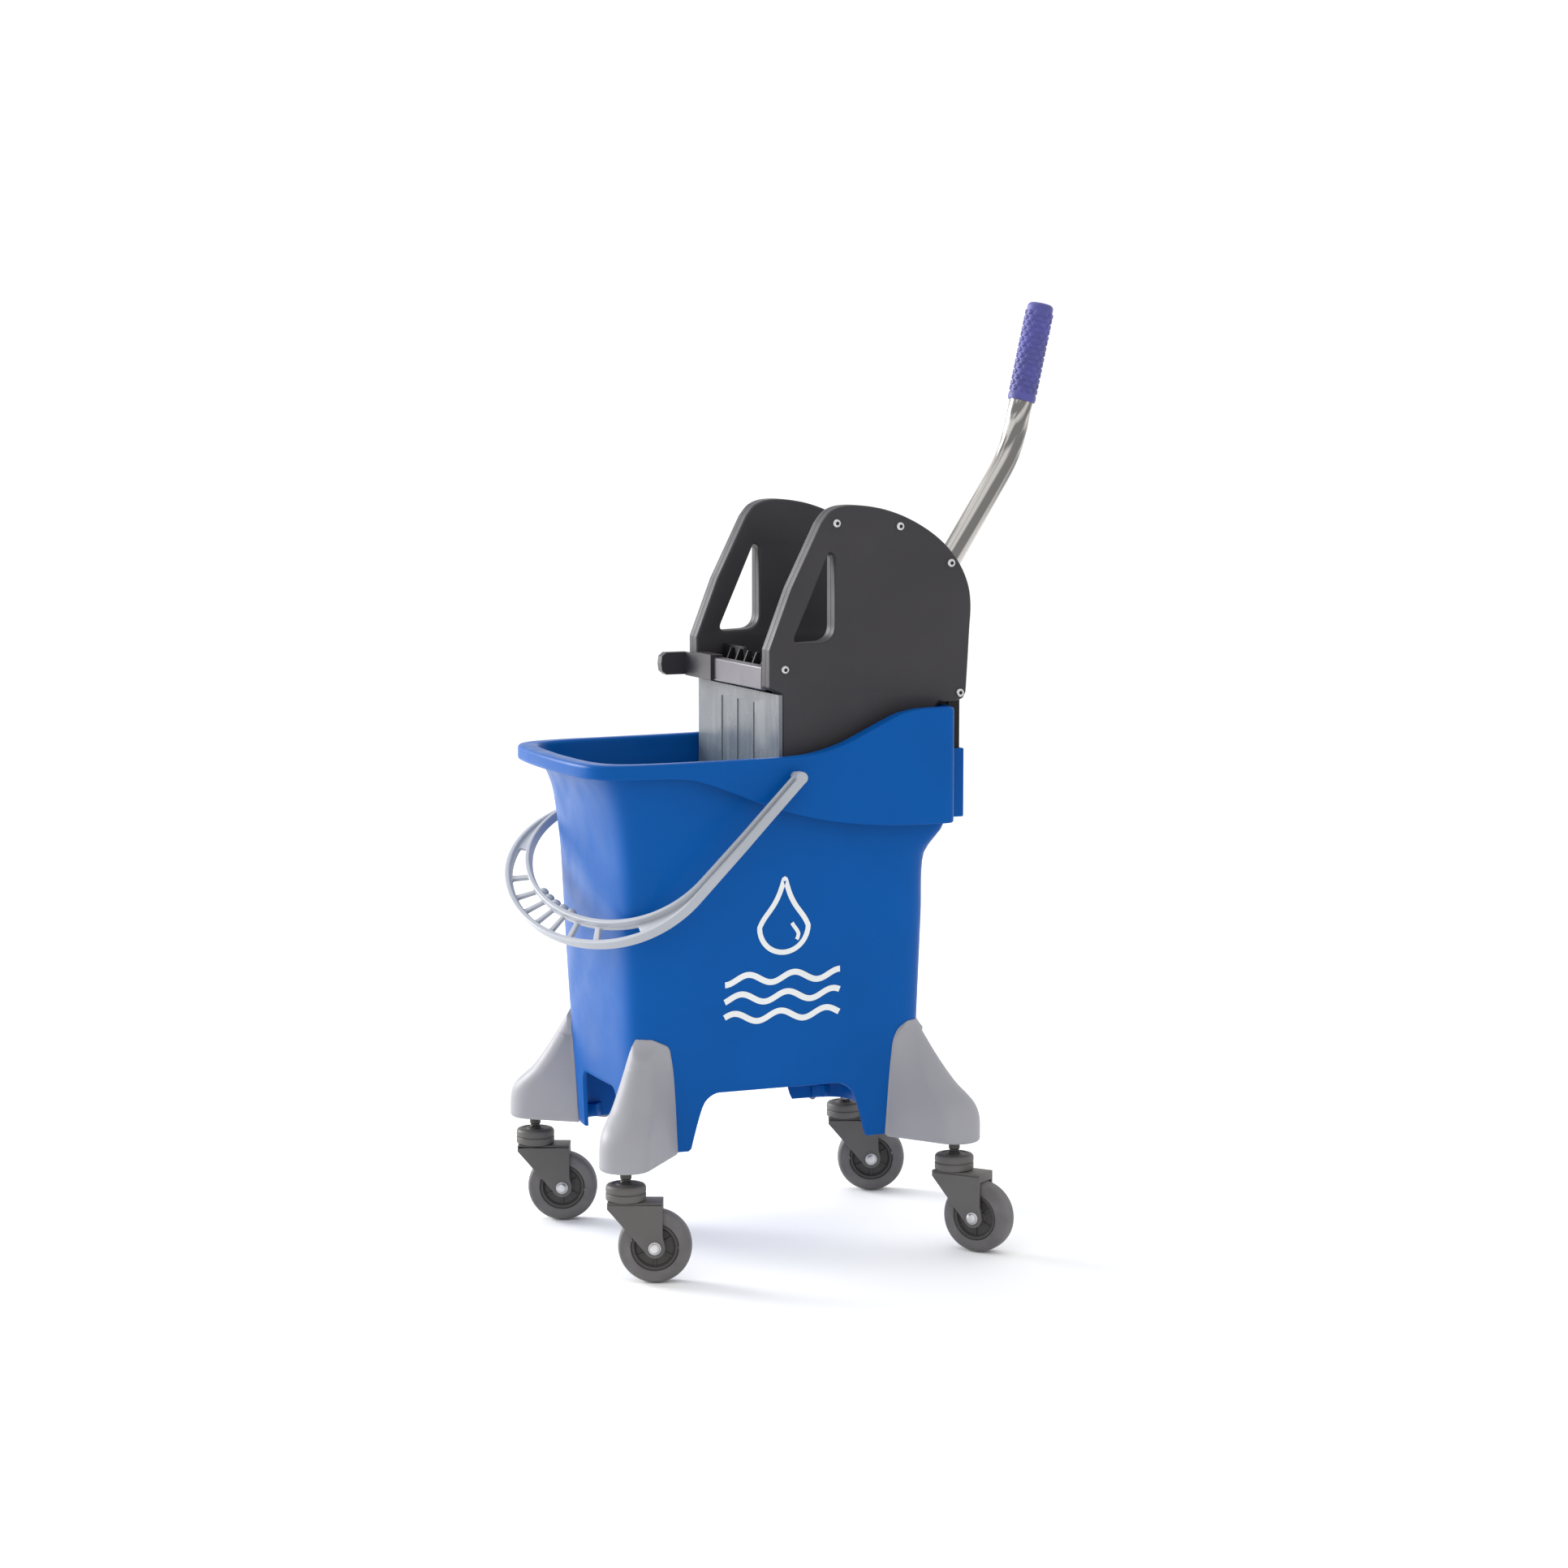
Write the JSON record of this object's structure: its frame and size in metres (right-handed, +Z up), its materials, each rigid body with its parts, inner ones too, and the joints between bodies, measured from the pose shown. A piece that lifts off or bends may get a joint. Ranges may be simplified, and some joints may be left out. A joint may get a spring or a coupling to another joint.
{
  "type": "mop bucket with wringer",
  "caption": "Rolling mop bucket with flared rim, corner feet on swivel casters, swing bail and lift-out side-press wringer worked by a long lever.",
  "frame": {"origin": "on the floor, under the middle of the whole object's length and width at rest", "axes": "+X towards the wringer end, -X towards the pouring lip, +Y across towards the mop rest, +Z up"},
  "size_m": [0.6048, 0.3741, 0.9928],
  "materials": {
    "blue_plastic": "semi-gloss moulded",
    "light_grey_plastic": "satin moulded",
    "bail_plastic": "satin moulded",
    "dark_grey_plastic": "fine grained moulded",
    "panel_plastic": "smooth moulded",
    "caster_plastic": "matt moulded",
    "wheel_core_plastic": "matt moulded",
    "tyre_rubber": "matt grey rubber",
    "chromed_tube": "bright",
    "zinc_steel": "bright zinc",
    "grip_rubber": "matt, moulded knobs"
  },
  "bodies": {
    "bucket": {"bucket_body": "blue_plastic", "foot_front_near": "light_grey_plastic", "foot_front_far": "light_grey_plastic", "foot_rear_near": "light_grey_plastic", "foot_rear_far": "light_grey_plastic", "caster_stem_front_near": "zinc_steel", "caster_stem_front_far": "zinc_steel", "caster_stem_rear_near": "zinc_steel", "caster_stem_rear_far": "zinc_steel", "caster_collar_front_near": "caster_plastic", "caster_collar_front_far": "caster_plastic", "caster_collar_rear_near": "caster_plastic", "caster_collar_rear_far": "caster_plastic"},
    "bail": {"bail_handle": "bail_plastic"},
    "wringer": {"wringer_cover_near": "dark_grey_plastic", "wringer_inner_near": "dark_grey_plastic", "wringer_cover_far": "dark_grey_plastic", "wringer_inner_far": "dark_grey_plastic", "wringer_front_panel": "panel_plastic", "wringer_lip_bar": "dark_grey_plastic", "mop_rest_bracket": "dark_grey_plastic", "wringer_press_grid": "dark_grey_plastic", "wringer_floor_grid": "dark_grey_plastic", "wringer_back_hook": "dark_grey_plastic", "jaw_shaft": "zinc_steel", "jaw_bush_near": "light_grey_plastic", "jaw_bush_far": "light_grey_plastic", "housing_screw_near_1": "zinc_steel", "housing_screw_near_2": "zinc_steel", "housing_screw_near_3": "zinc_steel", "housing_screw_near_4": "zinc_steel", "housing_screw_near_5": "zinc_steel", "housing_screw_far_1": "zinc_steel", "housing_screw_far_2": "zinc_steel", "housing_screw_far_3": "zinc_steel", "housing_screw_far_4": "zinc_steel", "housing_screw_far_5": "zinc_steel"},
    "lever": {"wringer_jaw": "dark_grey_plastic", "lever_socket": "dark_grey_plastic", "lever_tube": "chromed_tube", "lever_grip": "grip_rubber", "lever_bolt": "zinc_steel"},
    "swivel_front_near": {"caster_fork_front_near": "caster_plastic", "axle_bolt_front_near": "zinc_steel"},
    "wheel_front_near": {"wheel_core_front_near": "wheel_core_plastic", "wheel_tyre_front_near": "tyre_rubber"},
    "swivel_front_far": {"caster_fork_front_far": "caster_plastic", "axle_bolt_front_far": "zinc_steel"},
    "wheel_front_far": {"wheel_core_front_far": "wheel_core_plastic", "wheel_tyre_front_far": "tyre_rubber"},
    "swivel_rear_near": {"caster_fork_rear_near": "caster_plastic", "axle_bolt_rear_near": "zinc_steel"},
    "wheel_rear_near": {"wheel_core_rear_near": "wheel_core_plastic", "wheel_tyre_rear_near": "tyre_rubber"},
    "swivel_rear_far": {"caster_fork_rear_far": "caster_plastic", "axle_bolt_rear_far": "zinc_steel"},
    "wheel_rear_far": {"wheel_core_rear_far": "wheel_core_plastic", "wheel_tyre_rear_far": "tyre_rubber"}
  },
  "joints": [
    {"name": "bail_swing", "type": "hinge", "parent": "bucket", "child": "bail", "pos_m": [-0.05947, 0.01506, 0.507], "axis": [0, 1, 0], "range_deg": [0, 108]},
    {"name": "wringer_lift", "type": "slide", "parent": "bucket", "child": "wringer", "axis": [0, 0, 1], "range_m": [0, 0.07]},
    {"name": "lever_press", "type": "hinge", "parent": "wringer", "child": "lever", "pos_m": [0.01603, 0.01506, 0.458], "axis": [0, -1, 0], "range_deg": [0, 38]},
    {"name": "swivel_front_near", "type": "hinge", "parent": "bucket", "child": "swivel_front_near", "pos_m": [-0.24527, -0.12914, 0.084], "axis": [0, 0, 1], "continuous": true},
    {"name": "roll_front_near", "type": "hinge", "parent": "swivel_front_near", "child": "wheel_front_near", "pos_m": [-0.21811, -0.14039, 0.0375], "axis": [0.3827, 0.9239, 0], "continuous": true},
    {"name": "swivel_front_far", "type": "hinge", "parent": "bucket", "child": "swivel_front_far", "pos_m": [-0.24527, 0.15926, 0.084], "axis": [0, 0, 1], "continuous": true},
    {"name": "roll_front_far", "type": "hinge", "parent": "swivel_front_far", "child": "wheel_front_far", "pos_m": [-0.21811, 0.14801, 0.0375], "axis": [0.3827, 0.9239, 0], "continuous": true},
    {"name": "swivel_rear_near", "type": "hinge", "parent": "bucket", "child": "swivel_rear_near", "pos_m": [0.12133, -0.12914, 0.084], "axis": [0, 0, 1], "continuous": true},
    {"name": "roll_rear_near", "type": "hinge", "parent": "swivel_rear_near", "child": "wheel_rear_near", "pos_m": [0.13923, -0.15246, 0.0375], "axis": [0.7934, 0.6088, 0], "continuous": true},
    {"name": "swivel_rear_far", "type": "hinge", "parent": "bucket", "child": "swivel_rear_far", "pos_m": [0.12133, 0.15926, 0.084], "axis": [0, 0, 1], "continuous": true},
    {"name": "roll_rear_far", "type": "hinge", "parent": "swivel_rear_far", "child": "wheel_rear_far", "pos_m": [0.14849, 0.14801, 0.0375], "axis": [0.3827, 0.9239, 0], "continuous": true}
  ]
}
